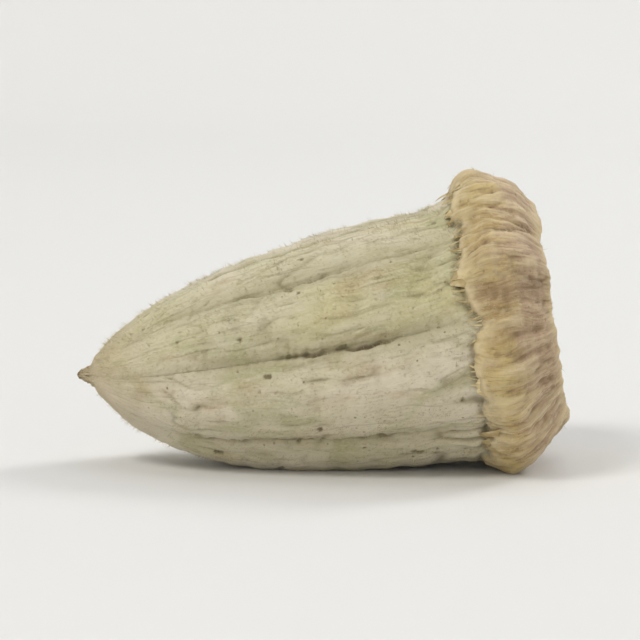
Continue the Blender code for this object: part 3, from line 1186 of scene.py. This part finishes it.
@dataclass
class PodSurface:
    """The pod's fine mesh: the main form with the small relief of its dried skin."""

    form: PodForm = field(default_factory=PodForm)
    skin_relief: SkinRelief = SkinRelief()
    cap_relief: CapRelief = CapRelief()
    borders: Borders = Borders()
    finish: PodFinish = PodFinish()
    rows: int = 316
    columns_per_rib: int = 38
    furrow_crowding: float = 0.25
    creases: Creases = Creases()
    pits: Pits = Pits()
    bundles: Bundles = Bundles()
    fibre_radius: float = 4.0 * MM
    least_round: float = 2.0 * MM
    neck_swell: float = 0.15 * MM
    neck_depth: float = 14.36 * MM
    neck_width: float = 0.20 * MM
    sway_size: float = 1.1 * MM
    sway_shifts: tuple[float, ...] = (31.0, 37.0, 43.0)
    sway_reach: float = 0.28 * MM
    sway_turn: float = 0.05
    edge_shift: float = -0.22 * MM
    edge_waves: tuple[EdgeWave, ...] = (
        EdgeWave(2.6, 2.0, 0.22 * MM, False),
        EdgeWave(7.0, 5.0, 0.20 * MM, True),
        EdgeWave(15.0, 9.0, 0.13 * MM, True),
        EdgeWave(34.0, 11.0, 0.05 * MM, False),
    )
    tints: tuple[float, ...] = (0.55, 0.25, 0.65, 0.80, 0.30, 0.4, 0.35, 0.6)
    masks: dict[Region, Array] = field(init=False, default_factory=dict)

    def __post_init__(self) -> None:
        """Work out the grid that every other method reads."""
        form = self.form
        share = np.arange(self.columns_per_rib) / self.columns_per_rib
        share = share - self.furrow_crowding * np.sin(2.0 * math.pi * share) / (2.0 * math.pi)
        ribs = len(form.furrow_angles)
        turn = ((np.arange(ribs)[:, None] + share[None, :]) / ribs).ravel()
        self.columns = len(turn)
        radius, depth = form.outline(self.rows)
        radius = radius + self.neck_swell * bell(depth - self.neck_depth, self.neck_width)
        self.radius, self.turn = np.meshgrid(radius, turn, indexing="ij")
        self.depth = np.repeat(depth[:, None], self.columns, axis=1)
        self.path = np.repeat(self.outline_path(radius, depth)[:, None], self.columns, axis=1)
        self.rib, self.across, self.angle = form.rib_place(self.turn)
        self.places = form.shaped(self.radius, self.depth, self.turn)
        self.normals = self.grid_normals(self.places)
        self.own = self.turned(-self.depth, self.radius, self.angle)
        sway = [perlin(self.own / self.sway_size, shift) for shift in self.sway_shifts]
        sway_places = self.sway_reach * np.stack(sway, axis=-1)
        self.bent = self.own + sway_places
        rounded = np.maximum(self.radius, self.least_round)
        skin_radius = np.where(self.depth > form.body_join, rounded, self.radius)
        self.skin = self.turned(-self.depth, skin_radius, self.angle) + sway_places
        self.swayed = self.angle + self.sway_turn * sway[0]
        self.fibre = self.turned(self.path, self.fibre_radius, self.swayed)
        self.edge = self.edge_depth()

    @staticmethod
    def turned(along: Array, radius: Any, angle: Array) -> Array:
        """Places at each distance along the axis, each radius and each angle."""
        return np.stack([along, radius * np.cos(angle), radius * np.sin(angle)], axis=-1)

    @staticmethod
    def outline_path(radius: Array, depth: Array) -> Array:
        """Distance along the outline from the pith to each of its points."""
        steps = np.hypot(np.diff(radius), np.diff(depth))
        return np.concatenate([[0.0], np.cumsum(steps)])

    @staticmethod
    def grid_normals(points: Array) -> Array:
        """Outward normals of a grid of rows round the pod.

        Args:
            points: Places of the grid, row by row.

        Returns:
            One vector of length 1 for each place.
        """
        down = np.gradient(points, axis=0)
        around = np.roll(points, -1, axis=1) - np.roll(points, 1, axis=1)
        normal = np.cross(down, around)
        size = np.linalg.norm(normal, axis=-1, keepdims=True)
        normal = normal / np.maximum(size, 1e-15)
        normal[0] = (1.0, 0.0, 0.0)
        normal[-1] = (-1.0, 0.0, 0.0)
        return normal

    def grain(self, ripple: Ripple) -> Array:
        """Noise in blotches that lie along the pod."""
        return perlin(self.bent / np.array([ripple.length, ripple.width, ripple.width]), ripple.shift)

    def wrinkle(self, ripple: Ripple) -> Array:
        """Noise in the skin that runs along the pod and closes in on the tip."""
        return perlin(self.skin / np.array([ripple.length, ripple.width, ripple.width]), ripple.shift)

    def fibres(self, streak: Streak) -> Array:
        """Noise whose streaks run from the pith over the rim and on."""
        reach = streak.count / (2.0 * math.pi)
        return perlin(self.turned(self.path / streak.length, reach, self.swayed), streak.shift)

    def ringed(self, reach: Array, rings: Rings) -> Array:
        """Ridges that run round the pod, one after another along reach."""
        places = self.turned(reach / rings.spacing, rings.unevenness, self.angle)
        return ridged(perlin(places, rings.shift))

    def edge_depth(self) -> Array:
        """Depth of the cap's torn edge round the pod, with its teeth, one value a column.

        Returns:
            The depths, as one row.
        """
        angle = self.angle[0]
        ring = np.stack([np.cos(angle), np.sin(angle), np.zeros(self.columns)], axis=-1)
        depth = np.full(self.columns, self.form.cap_edge + self.edge_shift)
        for wave in self.edge_waves:
            values = perlin(ring * wave.fineness, wave.shift)
            depth += wave.height * (ridged(values) if wave.toothed else values)
        return depth[None, :]

    def crease_sink(self) -> tuple[Array, Array]:
        """Depth of the creases, and the mask of their painted shade.

        Returns:
            The depth in metres, and the mask.
        """
        creases, wander = self.creases, self.creases.wander
        sink = np.zeros_like(self.depth)
        dark = np.zeros_like(self.depth)
        strength = perlin(self.own / creases.patch_size, creases.patch_shift)
        strength = np.clip(creases.patch_level + creases.patch_contrast * strength, *creases.patch_range)
        for number, line in enumerate(creases.lines(self.form.furrow_angles)):
            drift = creases.bow * np.sin(self.depth / creases.bow_length + creases.bow_offset * number)
            wander_places = np.stack([self.depth / wander.length] * 3, axis=-1)
            drift += wander.height * perlin(wander_places, wander.shift * number)
            distance = angle_gap(self.angle, line.angle) * self.radius + drift
            ends = ramp(line.start, line.start + creases.rise, self.depth)
            ends *= 1.0 - ramp(line.end - creases.fall, line.end, self.depth)
            shape = bell(distance, line.width) * ends * strength
            sink = np.maximum(sink, line.depth * shape)
            # Deeper creases get more painted shade.
            dark = np.maximum(dark, shape * min(line.depth / creases.darkest, 1.0))
        return sink, dark

    def pit_sink(self) -> tuple[Array, Array]:
        """Depth of the small scars and pits in the skin, and the mask of how dark they are.

        Returns:
            The depth in metres, and the mask.
        """
        pits = self.pits
        sink = np.zeros_like(self.depth)
        dark = np.zeros_like(self.depth)
        rough = pits.raggedness * perlin(self.own / pits.grain, pits.grain_shift)
        for pit in pits.drawn():
            along = (self.depth - pit.depth) / (pit.size * pit.stretch)
            across = angle_gap(self.angle, pit.angle) * self.radius / pit.size
            shape = (1.0 - ramp(*pits.rim, np.hypot(along, across) + rough)) ** pits.steepness
            sink = np.maximum(sink, shape * pit.size * pits.sink * pit.strength)
            dark = np.maximum(dark, shape * pit.strength)
        return sink, dark

    def skin_height(self, valley: Array) -> tuple[Array, Array]:
        """Height of the wrinkled skin, and the mask of its folds.

        Args:
            valley: Mask of the furrows between the ribs.

        Returns:
            The height in metres, and 1 in a fold, 0 elsewhere.
        """
        skin = self.skin_relief
        coarse = folded(self.wrinkle(skin.coarse), skin.coarse.sharpness)
        fine = folded(self.wrinkle(skin.fine), skin.fine.sharpness)
        near_cap = 1.0 - ramp(*skin.cap_range, self.depth)
        patchy = ramp(*skin.patch_range, self.grain(skin.patches))
        strength = skin.least + skin.in_patches * patchy + skin.near_cap * near_cap + skin.in_furrows * valley
        strength = np.clip(strength, 0.0, skin.most)
        strength = strength * (1.0 - skin.lost_at_tip * ramp(*skin.tip_range, self.depth))
        height = skin.coarse.height * (coarse - skin.fold_level) + skin.fine.height * (fine - skin.fold_level)
        height = strength * height
        height += skin.swells.height * self.grain(skin.swells) + skin.grit.height * self.grain(skin.grit)
        height += skin.threads.height * self.wrinkle(skin.threads)
        height += skin.rungs.height * valley * ridged(self.grain(skin.rungs))
        place = 2.0 * math.pi * self.depth / skin.seed_spacing
        seeds = np.cos(place + skin.seed_offset * self.rib + skin.seed_drift * patchy)
        crest = np.sin(math.pi * self.across) ** skin.seed_narrowness
        height += skin.seed_height * seeds * self.form.rib_envelope(self.depth) * crest
        # Mask of the folds, read by the finish as painted shade.
        fold = strength * np.maximum(1.0 - coarse, skin.fine_dark * (1.0 - fine))
        return height, np.clip(fold, 0.0, 1.0)

    def cap_height(self, face: Array, stem: Array) -> tuple[Array, Array]:
        """Height of the corky cap with its fibres, rings and cracks.

        Args:
            face: Mask of the cap's face.
            stem: Mask of the cut stem in its middle.

        Returns:
            The height in metres, and the mask of its cracks.
        """
        cap = self.cap_relief
        coarse = self.fibres(cap.coarse)
        pleat, thread, groove, split = (
            folded(self.fibres(streak), streak.sharpness)
            for streak in (cap.pleats, cap.threads, cap.grooves, cap.splits)
        )
        groove = (1.0 - groove) * ramp(*cap.groove_range, self.grain(cap.groove_patches))
        split = (1.0 - split) * ramp(*cap.split_range, self.grain(cap.split_patches))
        crack = np.maximum(split, cap.groove_share * groove) * (1.0 - stem)
        crest = bell(self.radius - cap.crest_radius, cap.crest_width) * (self.depth < cap.crest_end)
        band = (1.0 - face) * (1.0 - stem)
        height = cap.coarse.height * ridged(coarse) + cap.fine.height * ridged(self.fibres(cap.fine))
        height += cap.lumps.height * self.grain(cap.lumps) + cap.grit.height * self.grain(cap.grit)
        height += cap.face_rings.height * face * (1.0 - stem) * self.ringed(self.radius, cap.face_rings)
        height += cap.band_rings.height * band * self.ringed(self.path, cap.band_rings)
        height += cap.crest_height * crest * (cap.crest_level + coarse)
        height += band * cap.pleats.height * (pleat - cap.fold_level)
        height += band * cap.threads.height * (thread - cap.fold_level)
        height = (height - cap.crack_depth * crack) * (1.0 - cap.stem_loss * stem)
        # Painted shade in the folds of the pleats and threads, joined with the cracks.
        dark = np.maximum(cap.pleat_dark * (1.0 - pleat), cap.thread_dark * (1.0 - thread))
        return height, np.maximum(crack, band * dark)

    def style_height(self) -> Array:
        """Height of the shrivelled skin on the style's stub.

        Returns:
            The height in metres.
        """
        skin = self.skin_relief
        shrivelled = ridged(perlin(self.own / np.array(skin.style_grain), skin.style_shift))
        on_style = ramp(*skin.style_range, self.depth) * np.minimum(self.radius / skin.style_calm_radius, 1.0)
        return skin.style_height * (shrivelled - skin.style_level) * on_style

    def lip_height(self, on_cap: Array, face: Array) -> Array:
        """Height of the cap's curled edge.

        Args:
            on_cap: Mask of the cap.
            face: Mask of the cap's face.

        Returns:
            The height in metres.
        """
        cap = self.cap_relief
        behind_edge = np.clip((self.edge - self.depth) / cap.lip_width, 0.0, 1.0)
        lip = cap.lip_height + cap.lip.height * self.fibres(cap.lip)
        return lip * on_cap * (1.0 - behind_edge) ** 2 * (1.0 - face)

    def furrow_mask(self, envelope: Array) -> Array:
        """Mask of the furrows between the ribs.

        Args:
            envelope: How far the ribs are raised at each place.

        Returns:
            1 in a furrow, 0 on a rib.
        """
        start = np.array(self.form.furrow_angles)
        width = np.radians((np.roll(start, -1) - start) % 360.0)
        from_furrow = np.minimum(self.across, 1.0 - self.across) * width[self.rib] * self.radius
        return bell(from_furrow, self.borders.furrow_width) * envelope

    def raise_relief(self) -> None:
        """Move the grid by the fine relief and keep the masks that the finish reads."""
        skin, cap, borders = self.skin_relief, self.cap_relief, self.borders
        depth, radius, past_edge = self.depth, self.radius, self.depth - self.edge
        on_cap = 1.0 - ramp(*borders.cap, past_edge)
        off_cap = 1.0 - on_cap
        face, stem, pith = (
            (1.0 - ramp(*border, radius)) * on_cap
            for border in (borders.face, borders.stem, borders.pith)
        )
        envelope = self.form.rib_envelope(depth)
        valley = self.furrow_mask(envelope)

        crease, crease_shade = self.crease_sink()
        pit, pit_dark = self.pit_sink()
        skin_height, fold = self.skin_height(valley)
        on_tip = ramp(*skin.calm_tip, depth)
        skin_height = (skin_height - crease - pit) * np.minimum(radius / skin.calm_radius, 1.0)
        skin_height = skin_height * (1.0 - skin.calm_tip_share * on_tip) + self.style_height()
        cap_height, crack = self.cap_height(face, stem)
        bundles = self.bundle_dots()
        cap_height = cap_height - cap.bundle_depth * bundles * (1.0 - pith)
        cap_height = cap_height * np.minimum(radius / cap.calm_radius, 1.0)
        under = bell(past_edge - cap.under_width, cap.under_width) * off_cap

        relief = skin_height * off_cap + cap_height * on_cap + self.lip_height(on_cap, face)
        relief -= cap.under_depth * under
        relief[0] = relief[1].mean()
        relief[-1] = 0.0
        self.places = self.places + self.normals * relief[..., None]

        self.masks = {
            Region.CAP: on_cap,
            Region.CAP_FACE: face,
            Region.STEM: stem,
            Region.PITH: np.maximum(pith, borders.bundle_dark * bundles),
            Region.FURROW: valley * off_cap,
            Region.CREASE: crease_shade * off_cap * np.minimum(envelope * borders.crease_growth, 1.0),
            Region.PIT: pit_dark * off_cap,
            Region.FOLD: np.where(on_cap > 0.5, crack, fold),
            # Height of the relief, read by the finish as painted shade in hollows and painted highlight on
            # raised parts.
            Region.RELIEF: np.clip(0.5 + relief / borders.relief_span, 0.0, 1.0),
            Region.ALONG: depth / self.form.length,
            Region.TINT: self.blended(np.array(self.tints)),
            Region.EDGE: np.maximum(under, bell(past_edge, borders.edge_width)),
            Region.LIP: on_cap * bell(past_edge + borders.lip_place, borders.lip_width),
        }

    def bundle_dots(self) -> Array:
        """Mask of the small holes of the sap bundles round the pith, on the cut stem.

        Returns:
            1 in a hole, 0 elsewhere.
        """
        dots = np.zeros_like(self.depth)
        for angle, reach, size in self.bundles.drawn():
            across = self.own[..., 1] - reach * math.cos(angle)
            up = self.own[..., 2] - reach * math.sin(angle)
            dots = np.maximum(dots, bell(np.hypot(across, up), size))
        return dots * (self.depth < self.borders.stem_end)

    def blended(self, values: Array) -> Array:
        """Value of each rib's middle, blended smoothly from rib to rib.

        Args:
            values: One value for each rib.

        Returns:
            One value for each place of the grid.
        """
        place = self.rib + self.across - 0.5
        lower = np.floor(place).astype(int)
        share = ramp(0.0, 1.0, place - lower)
        count = len(values)
        return values[lower % count] * (1.0 - share) + values[(lower + 1) % count] * share

    def lay_down(self) -> None:
        """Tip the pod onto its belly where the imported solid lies, and flatten what touches."""
        tilt = np.array(Matrix.Rotation(-self.form.rest_tilt, 3, "Y"))
        main = self.form.shaped(self.radius, self.depth, self.turn) @ tilt.T
        low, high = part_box(NODE)
        middle = 0.5 * (np.array(low) + np.array(high))
        shift = middle - 0.5 * (main.min(axis=(0, 1)) + main.max(axis=(0, 1)))
        shift[2] = -(main[..., 2].min() + self.form.rest_depth)
        self.laid = self.places @ tilt.T + shift
        self.laid[..., 2] = np.maximum(self.laid[..., 2], 0.0)
        self.laid_normals = self.grid_normals(self.laid)

    def mesh(self, name: str) -> bpy.types.Mesh:
        """Closed mesh of the laid pod, with its masks as attributes.

        Args:
            name: Name of the mesh.

        Returns:
            The mesh, with faces out.
        """
        points = self.flat_places(self.laid)
        rows, columns = self.rows - 2, self.columns
        ring = np.arange(columns)
        following = (ring + 1) % columns
        starts = 1 + np.arange(rows - 1)[:, None] * columns
        first, after = starts + ring[None, :], starts + following[None, :]
        quads = np.stack([first, first + columns, after + columns, after], axis=-1)
        last = 1 + (rows - 1) * columns
        top = np.stack([np.zeros_like(ring), 1 + ring, 1 + following], axis=-1)
        tip = np.stack([np.full_like(ring, len(points) - 1), last + following, last + ring], axis=-1)
        faces = quads.reshape(-1, 4).tolist() + top.tolist() + tip.tolist()
        mesh = bpy.data.meshes.new(name)
        mesh.from_pydata(points.tolist(), [], faces)
        for region, values in self.masks.items():
            layer = mesh.attributes.new(region.value, "FLOAT", "POINT")
            layer.data.foreach_set("value", self.flat(values))
        keep_places(mesh, PLACE, self.flat_places(self.own))
        keep_places(mesh, FIBRE_PLACE, self.flat_places(self.fibre))
        mesh.shade_smooth()
        return mesh

    @staticmethod
    def flat(values: Array) -> Array:
        """One value for each vertex of the mesh, with one for each end."""
        return np.concatenate([[values[0].mean()], values[1:-1].ravel(), [values[-1].mean()]])

    def flat_places(self, places: Array) -> Array:
        """One place for each vertex of the mesh."""
        return np.stack([self.flat(places[..., k]) for k in range(3)], axis=-1)

    def build(self) -> None:
        """Shape, dress and place the body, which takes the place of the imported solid."""
        self.raise_relief()
        self.lay_down()
        mesh = self.mesh("pod_body")
        self.finish.dress(mesh)
        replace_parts(piece_of("pod_body", mesh), NODE)


@dataclass
class Hairs:
    """The short stiff hairs that stand on the ribs and the cap of the dried pod."""

    surface: PodSurface
    finish: WispFinish = WispFinish("dry_hair", tone(208, 199, 168), tone(178, 168, 130))
    count: int = 15000
    seed: int = 23
    shortest: float = 0.06 * MM
    longest: float = 0.30 * MM
    length_spread: Span = (1.2, 3.4)
    thickness: float = 0.008 * MM
    root: float = 0.02 * MM
    lean: float = 0.6
    disorder: float = 0.45
    clear_of_floor: float = 0.3 * MM
    furrow_loss: float = 0.7
    cap_loss: float = 0.75
    face_loss: float = 0.6
    patch_size: float = 0.9 * MM
    patch_shift: float = 71.0
    patch_level: float = 0.55
    patch_contrast: float = 1.3
    patch_range: Span = (0.08, 1.4)

    def roots(self, draw: np.random.Generator) -> Array:
        """Numbers of the grid points that the hairs stand on.

        Args:
            draw: Source of the draws.

        Returns:
            One number for each hair.
        """
        surface, masks = self.surface, self.surface.masks
        wanted = surface.radius * (1.0 - self.furrow_loss * masks[Region.FURROW])
        wanted = wanted * (1.0 - self.cap_loss * masks[Region.CAP])
        wanted = wanted * (1.0 - self.face_loss * masks[Region.CAP_FACE]) * (1.0 - masks[Region.STEM])
        patches = perlin(surface.own / self.patch_size, self.patch_shift)
        wanted = wanted * np.clip(self.patch_level + self.patch_contrast * patches, *self.patch_range)
        wanted[:2] = 0.0
        wanted[-2:] = 0.0
        wanted[surface.laid[..., 2] < self.clear_of_floor] = 0.0
        return draw.choice(wanted.size, self.count, p=(wanted / wanted.sum()).ravel())

    def mesh(self, name: str) -> bpy.types.Mesh:
        """Closed three-sided spikes, one for each hair.

        Args:
            name: Name of the mesh.

        Returns:
            The mesh, with faces out.
        """
        draw = np.random.default_rng(self.seed)
        chosen = self.roots(draw)
        roots = self.surface.laid.reshape(-1, 3)[chosen]
        lean = self.surface.laid_normals.reshape(-1, 3)[chosen] - np.array([self.lean, 0.0, 0.0])
        lean = unit(lean + self.disorder * draw.normal(0.0, 1.0, (self.count, 3)))
        growth = draw.beta(*self.length_spread, self.count)[:, None]
        length = self.shortest + (self.longest - self.shortest) * growth
        side = unit(np.cross(lean, draw.normal(0.0, 1.0, (self.count, 3))))
        other = np.cross(lean, side)
        base = roots - self.root * lean
        corners = []
        for third in range(3):
            turn = 2.0 * math.pi * third / 3.0
            corners.append(base + self.thickness * (math.cos(turn) * side + math.sin(turn) * other))
        points = np.stack([*corners, roots + lean * length], axis=1).reshape(-1, 3)
        points[:, 2] = np.maximum(points[:, 2], 0.0)
        first = 4 * np.arange(self.count)[:, None, None]
        spike = np.array([[0, 2, 1], [0, 1, 3], [1, 2, 3], [2, 0, 3]])[None]
        return loose_mesh(name, points, (first + spike).reshape(-1, 3).tolist())

    def build(self) -> None:
        """Make, dress and place the hairs."""
        mesh = self.mesh("pod_hairs")
        self.finish.dress(mesh)
        piece_of("pod_hairs", mesh)


@dataclass(frozen=True)
class Tear:
    """One torn shred of the cap's edge: its place, its size, and how it leans and curls."""

    column: int
    across: int
    width: float
    length: float
    skew: float
    lift: float
    curl: float


@dataclass(frozen=True)
class TearKind:
    """One kind of shred: points across, and the ranges of its width, length, skew, lift and curl.

    The widths and lengths are in millimetres.
    """

    across: int
    widths: tuple[float, float]
    lengths: tuple[float, float]
    skew: float
    lifts: tuple[float, float]
    curls: tuple[float, float]

    def tear(self, column: int, draw: np.random.Generator) -> Tear:
        """Draw one shred of this kind at a column of the grid.

        Args:
            column: Number of the column.
            draw: Source of the draws.

        Returns:
            The shred.
        """
        width, length = draw.uniform(*self.widths) * MM, draw.uniform(*self.lengths) * MM
        skew, lift, curl = draw.normal(0.0, self.skew), draw.uniform(*self.lifts), draw.uniform(*self.curls)
        return Tear(column, self.across, width, length, skew, lift, curl)


@dataclass
class RimShreds:
    """Thin torn shreds of the dried calyx along the cap's edge: loose fibres and papery flakes."""

    surface: PodSurface
    finish: WispFinish = WispFinish("dry_shred", tone(214, 198, 156), tone(180, 158, 112), True)
    fibres: int = 130
    fibre: TearKind = TearKind(2, (0.03, 0.07), (0.08, 0.42), 0.35, (0.0, 0.25), (-0.2, 0.3))
    flakes: int = 14
    flake: TearKind = TearKind(9, (0.30, 0.80), (0.16, 0.44), 0.2, (0.0, 0.12), (-0.05, 0.25))
    flake_spread: Span = (0.1, 0.9)
    seed: int = 31
    thickness: float = 0.026 * MM
    root: float = 0.16 * MM
    sink: float = 0.12 * MM
    sections: int = 8
    clear_of_floor: float = 0.5 * MM
    rows_behind: int = 1
    rows_ahead: int = 6
    shortest_end: float = 0.45
    end_roundness: float = 1.8
    narrowing: float = 0.55
    thinning: float = 0.5
    wave: float = 0.10
    wave_along: float = 5.0
    wave_across: float = 7.0
    corner_sink: float = 0.35

    def sheet(self, tear: Tear, draw: np.random.Generator) -> tuple[Array, Array]:
        """One shred: a thin closed sheet whose root is sunk under the cap's lip.

        Args:
            tear: Its place, size and curl.
            draw: Source of its ragged end.

        Returns:
            Its points, the upper side's and then the lower side's, and their places along the fibres.
        """
        surface, column = self.surface, tear.column
        behind = surface.depth[:, column] < surface.edge[0, column]
        row = int(np.nonzero(behind)[0].max())
        start, normal = surface.laid[row, column], surface.laid_normals[row, column]
        ahead = surface.laid[row + self.rows_ahead, column]
        along = unit(ahead - surface.laid[row - self.rows_behind, column])
        side = unit(np.cross(along, normal))
        place = np.linspace(-0.5, 0.5, tear.across)[None, :, None]
        ragged = draw.uniform(self.shortest_end, 1.0, (1, tear.across, 1))
        ragged = ragged * (1.0 - self.end_roundness * place**2)
        share = np.linspace(0.0, 1.0, self.sections)[:, None, None]
        reach = tear.length * share * ragged / ragged.max() - self.root * (1.0 - share)
        width = tear.width * place * (1.0 - self.narrowing * share**2)
        wave = self.wave * share * np.sin(self.wave_along * share + self.wave_across * place + column)
        sink = self.sink + self.corner_sink * tear.width * (2.0 * place) ** 2
        lift = tear.length * (tear.lift * share + tear.curl * share**2 + wave)
        rise = lift - sink * (1.0 - share) ** 2
        middle = start + (along + tear.skew * share * side) * reach + side * width + normal * rise
        half_height = 0.5 * self.thickness * (1.0 - self.thinning * share) * normal
        level = 0.0 * reach
        fibre = surface.fibre[row, column] + np.concatenate([reach, width + level, level], axis=-1)
        upper, lower = (middle + half_height).reshape(-1, 3), (middle - half_height).reshape(-1, 3)
        return np.concatenate([upper, lower]), np.tile(fibre.reshape(-1, 3), (2, 1))

    def faces(self, first: int, across: int) -> list[list[int]]:
        """Faces of one shred: its upper side, its lower side and the strip round them.

        Args:
            first: Number of its first point.
            across: Number of its points across.

        Returns:
            The faces, faces out.
        """
        upper = first + np.arange(self.sections * across).reshape(self.sections, across)
        below = upper.size
        corners = (upper[:-1, :-1], upper[:-1, 1:], upper[1:, 1:], upper[1:, :-1])
        quads = np.stack(corners, axis=-1).reshape(-1, 4)
        rim = np.concatenate([upper[0, :-1], upper[:-1, -1], upper[-1, :0:-1], upper[:0:-1, 0]])
        after = np.roll(rim, -1)
        strip = np.stack([rim + below, after + below, after, rim], axis=-1)
        return [*quads.tolist(), *(quads[:, ::-1] + below).tolist(), *strip.tolist()]

    def tears(self, draw: np.random.Generator) -> list[Tear]:
        """Every shred: many thin fibres, and a few wide flakes spread round the cap.

        Args:
            draw: Source of the draws.

        Returns:
            The shreds, in the order in which they are drawn.
        """
        columns = self.surface.columns
        chosen = draw.permutation(columns)[: self.fibres].tolist()
        found = [self.fibre.tear(column, draw) for column in chosen]
        for number in range(self.flakes):
            place = (number + draw.uniform(*self.flake_spread)) * columns / self.flakes
            found.append(self.flake.tear(int(place) % columns, draw))
        return found

    def mesh(self, name: str) -> bpy.types.Mesh:
        """Closed thin sheets, one for each shred.

        Args:
            name: Name of the mesh.

        Returns:
            The mesh, with faces out.
        """
        draw = np.random.default_rng(self.seed)
        points, fibres, faces = [], [], []
        first = 0
        for tear in self.tears(draw):
            sheet, fibre = self.sheet(tear, draw)
            if sheet[:, 2].min() < self.clear_of_floor:
                continue
            points.append(sheet)
            fibres.append(fibre)
            faces += self.faces(first, tear.across)
            first += len(sheet)
        return loose_mesh(name, np.concatenate(points), faces, np.concatenate(fibres))

    def build(self) -> None:
        """Make, dress and place the shreds."""
        mesh = self.mesh("cap_shreds")
        self.finish.dress(mesh)
        piece_of("cap_shreds", mesh)


@dataclass(frozen=True)
class Lamp:
    """A square soft light that faces the pod: its middle, its side's length, its watts and its colour."""

    name: str
    place: tuple[float, float, float]
    size: float
    power: float
    colour: tuple[float, float, float]

    def build(self) -> None:
        """Put the light into the scene, unseen by the camera."""
        data = bpy.data.lights.new(self.name, "AREA")
        data.size = self.size
        data.energy = self.power
        data.color = self.colour
        lamp = bpy.data.objects.new(self.name, data)
        lamp.location = self.place
        lamp.rotation_mode = "QUATERNION"
        lamp.rotation_quaternion = (-Vector(self.place)).to_track_quat("-Z", "Y")
        lamp.visible_camera = False
        bpy.context.scene.collection.objects.link(lamp)


@dataclass(frozen=True)
class Studio:
    """Pale floor that curves up all round, soft lights and the camera.

    The lamps are a main light above and to the left, and soft fills in front, overhead and behind.
    """

    floor_colour: Colour = tone(226, 225, 222)
    floor_roughness: float = 0.9
    floor_gap: float = 0.01 * MM
    flat_radius: float = 0.16
    bowl_radius: float = 0.30
    bowl_height: float = 0.20
    bowl_end: float = 0.375
    rings: int = 48
    columns: int = 96
    lamps: tuple[Lamp, ...] = (
        Lamp("key", (-0.17, -0.17, 0.32), 0.11, 0.58, (1.0, 0.985, 0.96)),
        Lamp("front", (0.02, -0.40, 0.05), 0.26, 3.00, (1.0, 0.99, 0.99)),
        Lamp("top", (0.05, 0.08, 0.42), 0.30, 0.36, (1.0, 1.0, 1.0)),
        Lamp("rim", (0.24, 0.16, 0.27), 0.11, 0.46, (0.97, 0.985, 1.0)),
    )
    sky_colour: Colour = (0.97, 0.98, 1.0, 1.0)
    sky_strength: float = 0.38
    azimuth: float = 0.0
    elevation: float = math.radians(7.0)
    lens: float = 180.0
    sensor: float = 36.0
    frame_share: float = 0.76
    nearest: float = 0.005
    farthest: float = 5.0

    def floor(self) -> None:
        """A round sheet, flat below the pod and rising smoothly far from it."""
        radius = self.bowl_radius * np.linspace(0.0, 1.0, self.rings)[1:, None]
        height = self.bowl_height * ramp(self.flat_radius, self.bowl_end, radius)
        turn = 2.0 * math.pi * np.arange(self.columns)[None] / self.columns
        places = np.broadcast_arrays(radius * np.cos(turn), radius * np.sin(turn), height)
        points = np.vstack([[0.0, 0.0, 0.0], np.stack(places, axis=-1).reshape(-1, 3)])
        ring = 1 + np.arange(self.columns)
        after = np.roll(ring, -1)
        faces = np.stack([np.zeros_like(ring), ring, after], axis=-1).tolist()
        for start in range(0, (self.rings - 2) * self.columns, self.columns):
            outer = start + self.columns
            faces += np.stack([ring + start, ring + outer, after + outer, after + start], axis=-1).tolist()
        mesh = bpy.data.meshes.new("floor")
        mesh.from_pydata(points.tolist(), [], faces)
        mesh.shade_smooth()
        material = bpy.data.materials.new("floor_paper")
        material.use_nodes = True
        shader = material.node_tree.nodes["Principled BSDF"]
        shader.inputs["Base Color"].default_value = self.floor_colour
        shader.inputs["Roughness"].default_value = self.floor_roughness
        mesh.materials.append(material)
        sheet = bpy.data.objects.new("floor", mesh)
        sheet.location.z = -self.floor_gap
        bpy.context.scene.collection.objects.link(sheet)

    def sky(self) -> None:
        """An even pale light from all round."""
        world = bpy.data.worlds.new("studio")
        world.use_nodes = True
        background = world.node_tree.nodes["Background"]
        background.inputs["Color"].default_value = self.sky_colour
        background.inputs["Strength"].default_value = self.sky_strength
        bpy.context.scene.world = world

    def camera(self) -> None:
        """A long lens that looks along the photo's viewing angle at the middle of the pod."""
        low, high = cad_box
        middle = 0.5 * (Vector(low) + Vector(high))
        width = (high[0] - low[0]) / self.frame_share
        level = math.cos(self.elevation)
        side, ahead = level * math.sin(self.azimuth), -level * math.cos(self.azimuth)
        back = Vector((side, ahead, math.sin(self.elevation)))
        data = bpy.data.cameras.new("camera")
        data.lens = self.lens
        data.sensor_width = self.sensor
        data.clip_start = self.nearest
        data.clip_end = self.farthest
        camera = bpy.data.objects.new("camera", data)
        camera.location = middle + back * (width * self.lens / self.sensor)
        camera.rotation_mode = "QUATERNION"
        camera.rotation_quaternion = (-back).to_track_quat("-Z", "Y")
        bpy.context.scene.collection.objects.link(camera)
        bpy.context.scene.camera = camera

    def build(self) -> None:
        """Set up the whole studio."""
        bpy.context.scene.view_settings.view_transform = "Standard"
        self.floor()
        for lamp in self.lamps:
            lamp.build()
        self.sky()
        self.camera()


def write_sizes() -> None:
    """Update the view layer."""
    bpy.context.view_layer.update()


def main() -> None:
    """Build the studio and the pod, and report each piece."""
    logging.basicConfig(level=logging.INFO, format="%(name)s: %(message)s")
    Studio().build()
    log.info("studio ready")
    surface = PodSurface()
    for part in (surface, Hairs(surface), RimShreds(surface)):
        part.build()
    write_sizes()


if __name__ == "__main__":
    main()
